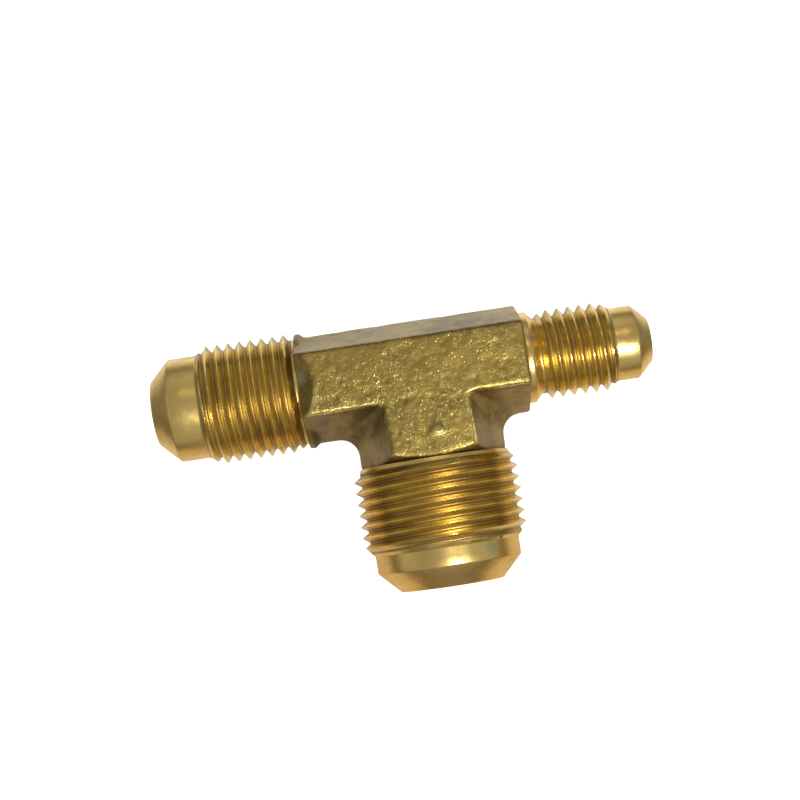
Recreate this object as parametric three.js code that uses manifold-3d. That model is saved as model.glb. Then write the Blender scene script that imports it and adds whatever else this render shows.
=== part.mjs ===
// Reducing flare tee in forged brass, with three externally threaded 45 degree flare ends.
// Millimetres, +Z up. The tee lies flat: the run lies along X with its large end at -X,
// and the branch points to -Y. The origin is the middle of the bottom of the bounding box.
// The fitting is one forging. Its nodes are the zones in which it is made: the forged body,
// and the three ends that are turned, threaded and bored from the same blank.

import * as THREE from 'three';
import { mergeVertices } from 'three/addons/utils/BufferGeometryUtils.js';
import Module from 'manifold-3d';

const wasm = await Module();
wasm.setup();

// Forged body. The run and the neck of the branch have six-sided sections with a wrench
// flat on the front and one on the back. Their sides slope out to the parting plane.
const WRENCH_FLAT_HEIGHT = 9.9; // parting plane to a wrench flat
const PARTING_BAND = 0.5; // half width of the straight band at the parting plane
const RUN_HALF_HEIGHT = 7.25; // run, at the parting plane
const RUN_FLAT_HALF_HEIGHT = 4.0; // run, at a wrench flat
const NECK_HALF_WIDTH = 9.75; // neck, at the parting plane
const NECK_FLAT_HALF_WIDTH = 5.4; // neck, at a wrench flat
const CORNER_RADIUS = 2.6; // fillets between the run and the neck
const BLOCK_LEFT = 16.2; // branch axis to the left end of the block
const BLOCK_RIGHT = 13.8; // branch axis to the right end of the block
const NECK_REACH = 12.0; // run axis to the turned end of the neck
const NECK_RELIEF_LENGTH = 1.4; // cone turned on the corners of the neck
const SHOULDER_STEP = 0.2; // from the left thread's crest down to the round shoulder behind it
const SHOULDER_LENGTH = 0.8;
const SHOULDER_TAPER = 0.9;
const SCOOP_SETBACK = 3.8; // dish at the left end of each wrench flat, from the block's end
const SCOOP_RADIUS = 6.3; // dish, at the wrench flat
const SCOOP_FLOOR_RADIUS = 3.8; // dish, at the top of the shoulder

// Flare ends. Reaches are measured from the crossing of the two axes, and diameters follow
// from the bore and the thread: the rim is the flat ring round the bore at the nose, and the
// steps are what the land and the collar are smaller or larger than the thread.
// The collar is the plain stretch that meets the body, before it narrows to the thread.
const ENDS = [
  {
    name: 'left_flare_end',
    outward: new THREE.Vector3(-1, 0, 0),
    from: BLOCK_LEFT,
    reach: 36,
    bore: 7.5,
    rim: 0.6,
    landStep: 2.1,
    threadDiameter: 16,
    pitch: 1.5,
    threadGap: 0.3,
    threadTo: 29.4,
    collarStep: -1.8,
    collarLength: 0.1,
    collarTaper: 0.2,
  },
  {
    name: 'right_flare_end',
    outward: new THREE.Vector3(1, 0, 0),
    from: BLOCK_RIGHT,
    reach: 31,
    bore: 4.5,
    rim: 0.75,
    landStep: 2.1,
    threadDiameter: 12,
    pitch: 1.5,
    threadGap: 1.9,
    threadTo: 25.9,
    collarStep: 0.3,
    collarLength: 1.1,
    collarTaper: 1.1,
  },
  {
    name: 'branch_flare_end',
    outward: new THREE.Vector3(0, -1, 0),
    from: NECK_REACH,
    reach: 28.5,
    bore: 12,
    rim: 0.9,
    landStep: 2.7,
    threadDiameter: 22,
    pitch: 1.5,
    threadGap: 0.1,
    threadTo: 22.9,
    collarStep: -2,
    collarLength: 0.1,
    collarTaper: 0.1,
  },
].map(sized);
const [LEFT, RIGHT, BRANCH] = ENDS;
const SHOULDER_RADIUS = LEFT.threadDiameter / 2 - SHOULDER_STEP;
const CONE_SLOPE = Math.tan(Math.PI / 4); // 45 degree flare cones

// Screw threads: 60 degree section, cut deeper than a facet's sag into the core.
const THREAD_DEPTH_PER_PITCH = 0.6134;
const THREAD_CREST_PER_PITCH = 0.125;
const FLANK_SLOPE = Math.tan(Math.PI / 6);
const THREAD_ROOT = 0.06; // flanks carried on below the core
const THREAD_KEY = 0.35; // straight foot of the ridge inside the core
const LEAD_IN_TURNS = 0.5; // at the nose
const RUN_OUT_TURNS = 0.5; // at the body

const FACETS = 24; // round every turned surface and every turn of a thread
const CORNER_FACETS = 6;
const OVERCUT = 1; // how far a cutter runs past the face that it starts from
const DRILL_POINT_SLOPE = Math.tan((59 * Math.PI) / 180);

const forgedBrass = new THREE.MeshStandardMaterial({
  name: 'forged_brass',
  color: 0x8a733c,
  roughness: 0.48,
  metalness: 1,
  flatShading: true,
});
const machinedBrass = new THREE.MeshStandardMaterial({
  name: 'machined_brass',
  color: 0xb18a3a,
  roughness: 0.27,
  metalness: 1,
});

// Works out the sizes of an end that follow from its bore, its thread and its start.
function sized(end) {
  return {
    ...end,
    nose: end.bore + 2 * end.rim,
    land: end.threadDiameter - end.landStep,
    collar: end.threadDiameter + end.collarStep,
    threadFrom: end.from + end.threadGap,
  };
}

// Turns a closed geometry into a solid that can be joined and cut.
function solid(geometry) {
  const bare = geometry.clone();
  bare.deleteAttribute('normal');
  bare.deleteAttribute('uv');
  const merged = mergeVertices(bare, 1e-5);
  const mesh = new wasm.Mesh({
    numProp: 3,
    vertProperties: new Float32Array(merged.attributes.position.array),
    triVerts: new Uint32Array(merged.index.array),
  });
  return new wasm.Manifold(mesh);
}

// Turns a solid back into a geometry.
function geometryOf(body) {
  const mesh = body.getMesh();
  const geometry = new THREE.BufferGeometry();
  geometry.setAttribute('position', new THREE.BufferAttribute(mesh.vertProperties, 3));
  geometry.setIndex(new THREE.BufferAttribute(mesh.triVerts, 1));
  geometry.computeVertexNormals();
  return geometry;
}

// Spins a profile of [radius, distance along the axis] pairs round the Y axis.
function turned(profile) {
  const points = profile.map(([radius, along]) => new THREE.Vector2(radius, along));
  return new THREE.LatheGeometry(points, FACETS);
}

// Stands a geometry that is made round +Y on an axis through the origin.
function alongAxis(geometry, outward) {
  const side = new THREE.Vector3(0, 0, 1);
  if (Math.abs(outward.z) > 0.5) {
    side.set(1, 0, 0);
  }
  const across = new THREE.Vector3().crossVectors(outward, side);
  return geometry.applyMatrix4(new THREE.Matrix4().makeBasis(across, outward, side));
}

// A right-handed helix round +Y whose radius drops at both ends, so that a ridge swept
// along it rises out of the core and sinks back into it.
class ThreadPath extends THREE.Curve {
  constructor(end, depth, halfWidth) {
    super();
    const length = end.threadTo - end.threadFrom - 2 * halfWidth;
    this.turns = Math.floor((length / end.pitch) * FACETS) / FACETS;
    this.start = end.threadFrom + halfWidth;
    this.pitch = end.pitch;
    this.radius = end.threadDiameter / 2;
    this.drop = depth + THREAD_ROOT;
  }

  sunk(t) {
    const intoRunOut = 1 - (t * this.turns) / RUN_OUT_TURNS;
    const intoLeadIn = 1 - ((1 - t) * this.turns) / LEAD_IN_TURNS;
    return this.drop * Math.max(0, intoRunOut, intoLeadIn);
  }

  outwardAt(t) {
    const angle = 2 * Math.PI * this.turns * t;
    return new THREE.Vector3(Math.sin(angle), 0, Math.cos(angle));
  }

  getPoint(t, target = new THREE.Vector3()) {
    const radius = this.radius - this.sunk(t);
    target.copy(this.outwardAt(t)).multiplyScalar(radius);
    target.y = this.start + this.pitch * this.turns * t;
    return target;
  }

  // Steps are even in angle, so that they meet the facets of the core.
  getPointAt(t, target) {
    return this.getPoint(t, target);
  }

  // The section stands straight out from the axis all the way along.
  computeFrenetFrames(segments) {
    const frames = { tangents: [], normals: [], binormals: [] };
    for (let i = 0; i <= segments; i += 1) {
      const normal = this.outwardAt(i / segments);
      const binormal = new THREE.Vector3(0, -1, 0);
      frames.tangents.push(new THREE.Vector3().crossVectors(normal, binormal));
      frames.normals.push(normal);
      frames.binormals.push(binormal);
    }
    return frames;
  }
}

// The ridge of one thread, round +Y.
function threadRidge(end) {
  const depth = THREAD_DEPTH_PER_PITCH * end.pitch;
  const halfCrest = (THREAD_CREST_PER_PITCH * end.pitch) / 2;
  const root = depth + THREAD_ROOT;
  const halfRoot = halfCrest + root * FLANK_SLOPE;
  const foot = root + THREAD_KEY;
  const path = new ThreadPath(end, depth, halfRoot);
  const section = new THREE.Shape([
    new THREE.Vector2(0, halfCrest),
    new THREE.Vector2(-root, halfRoot),
    new THREE.Vector2(-foot, halfRoot),
    new THREE.Vector2(-foot, -halfRoot),
    new THREE.Vector2(-root, -halfRoot),
    new THREE.Vector2(0, -halfCrest),
  ]);
  const steps = Math.round(path.turns * FACETS);
  return new THREE.ExtrudeGeometry(section, { steps, extrudePath: path });
}

// One flare end, round +Y: a bored core with its collar, thread, land and flare cone.
function flareEnd(end) {
  const core = end.threadDiameter / 2 - THREAD_DEPTH_PER_PITCH * end.pitch;
  const land = end.land / 2;
  const nose = end.nose / 2;
  const bore = end.bore / 2;
  const coneFrom = end.reach - (land - nose) / CONE_SLOPE;
  const collarTo = end.from + end.collarLength;
  const landFrom = end.threadTo + Math.abs(core - land);
  const barrel = turned([
    [end.collar / 2, end.from],
    [end.collar / 2, collarTo],
    [core, collarTo + end.collarTaper],
    [core, end.threadTo],
    [land, landFrom],
    [land, coneFrom],
    [nose, end.reach],
    [bore, end.reach],
    [bore, end.from],
    [end.collar / 2, end.from],
  ]);
  return solid(barrel).add(solid(threadRidge(end)));
}

// The outline of the forging at the parting plane, counterclockwise.
function teeOutline() {
  const armEdge = NECK_HALF_WIDTH + CORNER_RADIUS;
  const cornerDepth = RUN_HALF_HEIGHT + CORNER_RADIUS;
  const shape = new THREE.Shape();
  shape.moveTo(BLOCK_RIGHT, RUN_HALF_HEIGHT);
  shape.lineTo(-BLOCK_LEFT, RUN_HALF_HEIGHT);
  shape.lineTo(-BLOCK_LEFT, -RUN_HALF_HEIGHT);
  shape.lineTo(-armEdge, -RUN_HALF_HEIGHT);
  shape.absarc(-armEdge, -cornerDepth, CORNER_RADIUS, Math.PI / 2, 0, true);
  shape.lineTo(-NECK_HALF_WIDTH, -NECK_REACH);
  shape.lineTo(NECK_HALF_WIDTH, -NECK_REACH);
  shape.absarc(armEdge, -cornerDepth, CORNER_RADIUS, Math.PI, Math.PI / 2, true);
  shape.lineTo(BLOCK_RIGHT, -RUN_HALF_HEIGHT);
  return shape;
}

// The forging before it is turned: the outline drawn in from the parting band to the flats.
function forgedBlank() {
  const blank = new THREE.ExtrudeGeometry(teeOutline(), {
    depth: 2 * WRENCH_FLAT_HEIGHT,
    steps: 3,
    bevelEnabled: false,
    curveSegments: CORNER_FACETS,
  });
  blank.translate(0, 0, -WRENCH_FLAT_HEIGHT);
  const runDraft = RUN_HALF_HEIGHT - RUN_FLAT_HALF_HEIGHT;
  const neckDraft = NECK_HALF_WIDTH - NECK_FLAT_HALF_WIDTH;
  const neckEdge = NECK_HALF_WIDTH + CORNER_RADIUS / 2;
  const position = blank.attributes.position;
  const point = new THREE.Vector3();
  for (let i = 0; i < position.count; i += 1) {
    point.fromBufferAttribute(position, i);
    if (Math.abs(point.z) < WRENCH_FLAT_HEIGHT / 2) {
      point.z = Math.sign(point.z) * PARTING_BAND;
    } else {
      drawIn(point, runDraft, neckDraft);
    }
    position.setXYZ(i, point.x, point.y, point.z);
  }
  return blank;
}

// Moves a point of the outline to where the sloping sides meet a wrench flat.
function drawIn(point, runDraft, neckDraft) {
  const cornerEdge = NECK_HALF_WIDTH + CORNER_RADIUS + 0.001;
  const onNeckEnd = point.y < 0.001 - NECK_REACH;
  if (point.y < 0 && Math.abs(point.x) < cornerEdge) {
    point.x -= Math.sign(point.x) * neckDraft;
  }
  if (!onNeckEnd) {
    point.y -= Math.sign(point.y) * runDraft;
  }
}

// The passages: the run is drilled from both ends and the branch from its own.
function runPassage() {
  const wide = LEFT.bore / 2;
  const narrow = RIGHT.bore / 2;
  const stepFrom = narrow;
  const stepTo = stepFrom + (wide - narrow) / DRILL_POINT_SLOPE;
  const drill = turned([
    [0, -BLOCK_LEFT - OVERCUT],
    [wide, -BLOCK_LEFT - OVERCUT],
    [wide, stepFrom],
    [narrow, stepTo],
    [narrow, BLOCK_RIGHT + OVERCUT],
    [0, BLOCK_RIGHT + OVERCUT],
  ]);
  return solid(alongAxis(drill, RIGHT.outward));
}

function branchPassage() {
  const radius = BRANCH.bore / 2;
  const floor = LEFT.bore / 2;
  const drill = turned([
    [0, floor - radius / DRILL_POINT_SLOPE],
    [radius, floor],
    [radius, NECK_REACH + OVERCUT],
    [0, NECK_REACH + OVERCUT],
  ]);
  return solid(alongAxis(drill, BRANCH.outward));
}

// The round shoulder that the left thread runs out against.
function leftShoulder() {
  const inner = LEFT.bore / 2;
  const taperFrom = BLOCK_LEFT - SHOULDER_LENGTH;
  const taperTo = taperFrom - SHOULDER_TAPER;
  const root = SHOULDER_RADIUS - SHOULDER_TAPER;
  const ring = turned([
    [inner, taperTo],
    [root, taperTo],
    [SHOULDER_RADIUS, taperFrom],
    [SHOULDER_RADIUS, BLOCK_LEFT],
    [inner, BLOCK_LEFT],
    [inner, taperTo],
  ]);
  return solid(alongAxis(ring, LEFT.outward));
}

// The dish that runs from a wrench flat down to the shoulder.
function scoop(side) {
  const depth = WRENCH_FLAT_HEIGHT - SHOULDER_RADIUS;
  const flare = (SCOOP_RADIUS - SCOOP_FLOOR_RADIUS) / depth;
  const cutter = turned([
    [0, SHOULDER_RADIUS],
    [SCOOP_FLOOR_RADIUS, SHOULDER_RADIUS],
    [SCOOP_RADIUS + flare * OVERCUT, WRENCH_FLAT_HEIGHT + OVERCUT],
    [0, WRENCH_FLAT_HEIGHT + OVERCUT],
  ]);
  alongAxis(cutter, side);
  cutter.translate(-BLOCK_LEFT - SCOOP_SETBACK, 0, 0);
  return solid(cutter);
}

// The cone that the turning tool leaves on the corners of the neck.
function neckRelief() {
  const root = BRANCH.threadDiameter / 2 - THREAD_DEPTH_PER_PITCH * BRANCH.pitch;
  const outer = Math.hypot(NECK_HALF_WIDTH, WRENCH_FLAT_HEIGHT) + OVERCUT;
  const coneFrom = NECK_REACH - NECK_RELIEF_LENGTH;
  const ring = turned([
    [root, NECK_REACH + OVERCUT],
    [root, NECK_REACH],
    [root + NECK_RELIEF_LENGTH, coneFrom],
    [outer, coneFrom],
    [outer, NECK_REACH + OVERCUT],
    [root, NECK_REACH + OVERCUT],
  ]);
  return solid(alongAxis(ring, BRANCH.outward));
}

function forgedBody() {
  const up = new THREE.Vector3(0, 0, 1);
  const down = new THREE.Vector3(0, 0, -1);
  return solid(forgedBlank())
    .subtract(scoop(up))
    .subtract(scoop(down))
    .add(leftShoulder())
    .subtract(neckRelief())
    .subtract(runPassage())
    .subtract(branchPassage());
}

function named(name, geometry, material) {
  const mesh = new THREE.Mesh(geometry, material.clone());
  mesh.name = name;
  return mesh;
}

const fitting = new THREE.Group();
fitting.add(named('forged_body', geometryOf(forgedBody()), forgedBrass));
for (const end of ENDS) {
  const geometry = alongAxis(geometryOf(flareEnd(end)), end.outward);
  fitting.add(named(end.name, geometry, machinedBrass));
}

// The middle of the bottom of the box that holds the fitting comes to the origin.
const radii = ENDS.map((end) => end.threadDiameter / 2);
const backEdge = Math.max(RUN_HALF_HEIGHT, LEFT.threadDiameter / 2, RIGHT.threadDiameter / 2);
fitting.position.set(
  (LEFT.reach - RIGHT.reach) / 2,
  (BRANCH.reach - backEdge) / 2,
  Math.max(WRENCH_FLAT_HEIGHT, ...radii),
);

export default fitting;
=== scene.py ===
"""Reducing flare tee in forged brass: the fine model round the CAD frame.

The fitting is one forging. Its body keeps the forged skin, and its three ends are turned
and threaded. Each zone is modelled in millimetres round the crossing of the two axes, and
then brought into the frame, in metres.
"""

import logging
import math
import random
from contextlib import contextmanager
from dataclasses import dataclass, field
from enum import Enum
from typing import Callable, Iterator

import bmesh
import bpy
import numpy as np
from mathutils import Matrix, Vector, noise


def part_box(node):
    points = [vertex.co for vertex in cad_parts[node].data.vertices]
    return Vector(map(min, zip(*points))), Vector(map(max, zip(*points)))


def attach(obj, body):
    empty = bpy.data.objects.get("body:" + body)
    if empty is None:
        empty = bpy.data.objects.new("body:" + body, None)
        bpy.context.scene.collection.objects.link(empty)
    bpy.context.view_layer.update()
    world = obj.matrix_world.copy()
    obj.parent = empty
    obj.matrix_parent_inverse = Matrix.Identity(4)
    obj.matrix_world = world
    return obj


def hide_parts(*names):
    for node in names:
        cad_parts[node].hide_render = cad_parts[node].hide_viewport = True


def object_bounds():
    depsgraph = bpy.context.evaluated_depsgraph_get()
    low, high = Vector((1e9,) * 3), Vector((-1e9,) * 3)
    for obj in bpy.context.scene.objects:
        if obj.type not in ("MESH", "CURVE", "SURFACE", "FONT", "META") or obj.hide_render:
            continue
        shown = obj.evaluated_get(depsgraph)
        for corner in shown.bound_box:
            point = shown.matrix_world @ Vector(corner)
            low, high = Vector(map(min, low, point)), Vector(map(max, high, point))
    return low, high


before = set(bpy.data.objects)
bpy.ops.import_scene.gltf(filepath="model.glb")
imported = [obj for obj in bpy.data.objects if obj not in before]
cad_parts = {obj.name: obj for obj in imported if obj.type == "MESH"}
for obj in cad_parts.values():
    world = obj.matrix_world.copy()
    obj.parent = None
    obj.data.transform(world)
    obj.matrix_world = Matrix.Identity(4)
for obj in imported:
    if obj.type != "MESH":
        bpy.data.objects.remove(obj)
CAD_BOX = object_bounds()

Piece = bpy.types.Object
Tree = bpy.types.NodeTree
Socket = bpy.types.NodeSocket
Pair = tuple[float, float]
Triple = tuple[float, float, float]

log = logging.getLogger("flare_tee")
MM = 0.001
TURN = 2 * math.pi
MERGE_GAP = 0.0005
LATHE_STEPS = 96


class Zone(Enum):
    """The zones of the forging, by the names of their CAD nodes."""

    BODY = "forged_body"
    LEFT = "left_flare_end"
    RIGHT = "right_flare_end"
    BRANCH = "branch_flare_end"


class Slot(Enum):
    """The record's material slots."""

    FORGED = "forged_brass"
    MACHINED = "machined_brass"


# --------------------------------------------------------------------------- modelling


def deselect_all() -> None:
    """Clears the selection."""
    for item in bpy.context.selected_objects:
        item.select_set(False)


def activate(item: Piece) -> None:
    """Makes one object the only selected and the active one.

    Args:
        item: the object.
    """
    deselect_all()
    item.select_set(True)
    bpy.context.view_layer.objects.active = item


@contextmanager
def editing(item: Piece) -> Iterator[None]:
    """Puts one object in edit mode for the length of a with block.

    Args:
        item: the object.

    Returns:
        The context of the block, which yields nothing.
    """
    activate(item)
    bpy.ops.object.mode_set(mode="EDIT")
    yield
    bpy.ops.object.mode_set(mode="OBJECT")


def select_where(item: Piece, kind: str, test: Callable[[Vector], bool]) -> None:
    """Selects vertices or edges by their place, in edit mode.

    Args:
        item: the object in edit mode.
        kind: VERT or EDGE.
        test: takes a vertex's place or an edge's middle.
    """
    bpy.ops.mesh.select_mode(type=kind)
    bpy.ops.mesh.select_all(action="DESELECT")
    cage = bmesh.from_edit_mesh(item.data)
    if kind == "VERT":
        for vert in cage.verts:
            vert.select = test(vert.co)
    else:
        for edge in cage.edges:
            if test((edge.verts[0].co + edge.verts[1].co) / 2):
                edge.select_set(True)
    cage.select_flush_mode()
    bmesh.update_edit_mesh(item.data)


def pick_all() -> None:
    """Selects the whole mesh, in edit mode."""
    bpy.ops.mesh.select_all(action="SELECT")


def slide(x: float = 0.0, y: float = 0.0, z: float = 0.0) -> None:
    """Moves what is selected in edit mode."""
    bpy.ops.transform.translate(value=(x, y, z))


def apply_modifier(item: Piece, name: str, kind: str, **settings: object) -> None:
    """Adds one modifier and applies it.

    Args:
        item: the object that is shaped.
        name: the modifier's name.
        kind: Blender's modifier type.
        settings: the modifier's properties.
    """
    activate(item)
    modifier = item.modifiers.new(name, kind)
    for key, value in settings.items():
        setattr(modifier, key, value)
    bpy.ops.object.modifier_apply(modifier=name)


def combine(item: Piece, tool: Piece, how: str) -> None:
    """Joins or cuts one solid with another, which is used up.

    Args:
        item: the solid that stays.
        tool: the solid that is added, taken away or kept in common.
        how: UNION, DIFFERENCE or INTERSECT.
    """
    apply_modifier(item, "combine", "BOOLEAN", object=tool, operation=how, solver="EXACT")
    bpy.data.objects.remove(tool, do_unlink=True)


def chain(name: str, points: list[Pair]) -> Piece:
    """A profile drawn by pulling one vertex from place to place.

    Args:
        name: the object's name.
        points: (radius, distance along the axis) of each place, in millimetres.

    Returns:
        An object with one run of edges in the XZ plane.
    """
    deselect_all()
    bpy.ops.mesh.primitive_plane_add(size=1, location=(0, 0, 0))
    item = bpy.context.object
    item.name = name
    item.data.name = name
    with editing(item):
        bpy.ops.mesh.select_mode(type="VERT")
        pick_all()
        bpy.ops.mesh.merge(type="CENTER")
        slide(x=points[0][0], z=points[0][1])
        for (here, low), (there, high) in zip(points, points[1:]):
            step = (there - here, 0.0, high - low)
            bpy.ops.mesh.extrude_vertices_move(TRANSFORM_OT_translate={"value": step})
    return item


def sweep(item: Piece, steps: int, pitch: float = 0.0, turns: int = 1) -> None:
    """Turns a profile round Z, or screws it along Z.

    Args:
        item: the profile.
        steps: steps in a turn.
        pitch: how far a turn climbs.
        turns: how many turns.
    """
    apply_modifier(
        item,
        "sweep",
        "SCREW",
        axis="Z",
        angle=TURN,
        screw_offset=pitch,
        iterations=turns,
        steps=steps,
        render_steps=steps,
        use_merge_vertices=True,
        merge_threshold=MERGE_GAP,
    )


def lathe(name: str, points: list[Pair]) -> Piece:
    """A closed turned solid round Z.

    Args:
        name: the object's name.
        points: the profile, whose last point is its first, or whose ends are on the axis.

    Returns:
        The turned solid.
    """
    item = chain(name, points)
    sweep(item, LATHE_STEPS)
    tidy_faces(item)
    return item


def tidy_faces(item: Piece) -> None:
    """Merges doubles and turns all faces outwards.

    Args:
        item: the solid.
    """
    with editing(item):
        bpy.ops.mesh.select_mode(type="VERT")
        pick_all()
        bpy.ops.mesh.remove_doubles(threshold=MERGE_GAP)
        bpy.ops.mesh.normals_make_consistent(inside=False)


def stand(item: Piece, outward: Vector) -> None:
    """Turns a piece that is made round +Z onto an axis through the crossing.

    Args:
        item: the piece.
        outward: the axis, square to X or to Z.
    """
    upright = abs(outward.z) > 0.5
    side = Vector((1, 0, 0)) if upright else Vector((0, 0, 1))
    across = outward.cross(side)
    basis = Matrix((side, across, outward)).transposed().to_4x4()
    item.data.transform(basis)


def smooth(item: Piece, angle: float) -> None:
    """Smooth shading, with edges sharper than an angle in degrees left sharp."""
    activate(item)
    bpy.ops.object.shade_smooth_by_angle(angle=math.radians(angle))


def places(item: Piece) -> np.ndarray:
    """Reads the vertices of a mesh.

    Args:
        item: the object with the mesh.

    Returns:
        One row of x, y and z for each vertex.
    """
    rows = np.zeros(len(item.data.vertices) * 3)
    item.data.vertices.foreach_get("co", rows)
    return rows.reshape(-1, 3)


def set_places(item: Piece, rows: np.ndarray) -> None:
    """Writes the vertices of a mesh back."""
    item.data.vertices.foreach_set("co", rows.ravel())
    item.data.update()


def point_values(item: Piece, name: str, values: np.ndarray) -> None:
    """Stores one number for each vertex, for materials to read."""
    layer = item.data.attributes.new(name, "FLOAT", "POINT")
    layer.data.foreach_set("value", values.astype(np.float32))


def ramp01(low: float, high: float, values: np.ndarray) -> np.ndarray:
    """0 below low, 1 above high, and smooth between them."""
    t = np.clip((values - low) / (high - low), 0, 1)
    return t * t * (3 - 2 * t)


# --------------------------------------------------------------------------- shader groups


class Group:
    """A shader node group that is filled in as a small program."""

    def __init__(self, name: str) -> None:
        """Starts an empty group.

        Args:
            name: the group's name.
        """
        self.tree = bpy.data.node_groups.new(name, "ShaderNodeTree")
        self.inside = self.tree.nodes.new("NodeGroupInput")
        self.outside = self.tree.nodes.new("NodeGroupOutput")

    def takes(self, name: str, kind: str, default: object = None) -> Socket:
        """Adds an input.

        Args:
            name: the input's name.
            kind: the type of its socket.
            default: its value where nothing is linked to it.

        Returns:
            Its socket inside the group.
        """
        socket = self.tree.interface.new_socket(name, in_out="INPUT", socket_type=kind)
        if default is not None:
            socket.default_value = default
        return self.inside.outputs[name]

    def gives(self, name: str, kind: str, source: Socket) -> None:
        """Adds an output that carries a socket's value."""
        self.tree.interface.new_socket(name, in_out="OUTPUT", socket_type=kind)
        self.tree.links.new(source, self.outside.inputs[name])


def node(tree: Tree, kind: str, links: dict, **settings: object) -> bpy.types.Node:
    """Adds a node, sets it up and feeds it.

    Args:
        tree: the node tree.
        kind: the node's type.
        links: socket name or number to a value or to another node's output.
        settings: the node's properties.

    Returns:
        The node.
    """
    made = tree.nodes.new(kind)
    for key, value in settings.items():
        setattr(made, key, value)
    for key, value in links.items():
        if isinstance(value, Socket):
            tree.links.new(value, made.inputs[key])
        else:
            made.inputs[key].default_value = value
    return made


def maths(tree: Tree, how: str, *values: object) -> Socket:
    """One Math node's result."""
    links = dict(enumerate(values))
    return node(tree, "ShaderNodeMath", links, operation=how).outputs[0]


def times(tree: Tree, first: object, second: object) -> Socket:
    """The product of two values."""
    return maths(tree, "MULTIPLY", first, second)


def times_plus(tree: Tree, first: object, second: object, more: object) -> Socket:
    """The product of two values, and a third on top."""
    return maths(tree, "MULTIPLY_ADD", first, second, more)


def spread(tree: Tree, value: object, low: float, high: float,
           start: float = 0.0, end: float = 1.0) -> Socket:
    """Maps one range of a value to another, with soft ends.

    Args:
        tree: the node tree.
        value: what is mapped.
        low: where the range begins.
        high: where it ends.
        start: the result at and before its beginning.
        end: the result at and past its end.

    Returns:
        The mapped value.
    """
    links = {"Value": value, "From Min": low, "From Max": high, "To Min": start, "To Max": end}
    made = node(tree, "ShaderNodeMapRange", links, clamp=True, interpolation_type="SMOOTHSTEP")
    return made.outputs["Result"]


def mixed(tree: Tree, amount: object, first: object, second: object, how: str = "MIX") -> Socket:
    """Mixes two colours.

    Args:
        tree: the node tree.
        amount: the share of the second colour.
        first: the colour below.
        second: the colour on top.
        how: the blend mode.

    Returns:
        The mixed colour.
    """
    links = {0: amount, 6: first, 7: second}
    made = node(tree, "ShaderNodeMix", links, data_type="RGBA", blend_type=how)
    return made.outputs[2]


def grain(tree: Tree, place: object, scale: float, detail: float = 3.0,
          rough: float = 0.55) -> Socket:
    """A noise value between about 0.2 and 0.8."""
    links = {"Vector": place, "Scale": scale, "Detail": detail, "Roughness": rough}
    return node(tree, "ShaderNodeTexNoise", links, noise_dimensions="3D").outputs["Fac"]


def stored(tree: Tree, name: str) -> Socket:
    """The number that a piece stores at each vertex under a name."""
    return node(tree, "ShaderNodeAttribute", {}, attribute_name=name).outputs["Fac"]


def tarnish_group() -> Tree:
    """Brass that has dulled in patches: a colour, and how dull it is.

    Returns:
        The group, with Vector, Clean, Dull and Amount in, and Color and Mask out.
    """
    group = Group("tarnish")
    tree = group.tree
    place = group.takes("Vector", "NodeSocketVector")
    clean = group.takes("Clean", "NodeSocketColor", (0.8, 0.6, 0.3, 1))
    dull = group.takes("Dull", "NodeSocketColor", (0.4, 0.3, 0.2, 1))
    amount = group.takes("Amount", "NodeSocketFloat", 0.5)
    broad = spread(tree, grain(tree, place, 160.0, 4.0), 0.38, 0.66)
    fine = spread(tree, grain(tree, place, 900.0, 3.0), 0.42, 0.70)
    both = times_plus(tree, fine, 0.35, times(tree, broad, 0.65))
    mask = times(tree, both, amount)
    group.gives("Color", "NodeSocketColor", mixed(tree, mask, clean, dull))
    group.gives("Mask", "NodeSocketFloat", mask)
    return tree


def stain_group() -> Tree:
    """A ragged spot round one place: 1 in the middle of the spot, 0 outside.

    Returns:
        The group, with Vector, Centre and Radius in, and Mask out.
    """
    group = Group("stain")
    tree = group.tree
    place = group.takes("Vector", "NodeSocketVector")
    centre = group.takes("Centre", "NodeSocketVector")
    radius = group.takes("Radius", "NodeSocketFloat", 0.001)
    away = node(tree, "ShaderNodeVectorMath", {0: place, 1: centre}, operation="DISTANCE")
    share = maths(tree, "DIVIDE", away.outputs["Value"], radius)
    ragged = times_plus(tree, grain(tree, place, 1400.0, 3.0), 0.9, share)
    group.gives("Mask", "NodeSocketFloat", spread(tree, ragged, 1.35, 0.65))
    return tree


def turning_group() -> Tree:
    """Fine rings that a turning tool leaves, by the distance along the axis.

    Returns:
        The group, with Along and Vector in, and Height and Tone out.
    """
    group = Group("turning_rings")
    tree = group.tree
    along = group.takes("Along", "NodeSocketFloat")
    place = group.takes("Vector", "NodeSocketVector")
    rings = node(
        tree,
        "ShaderNodeTexNoise",
        {"W": times(tree, along, 1.0 / MM), "Scale": 7.0, "Detail": 3.0},
        noise_dimensions="1D",
    ).outputs["Fac"]
    patchy = spread(tree, grain(tree, place, 260.0, 2.0), 0.35, 0.65, 0.35, 1.0)
    height = times(tree, rings, patchy)
    group.gives("Height", "NodeSocketFloat", height)
    group.gives("Tone", "NodeSocketFloat", spread(tree, rings, 0.3, 0.7))
    return tree


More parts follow.
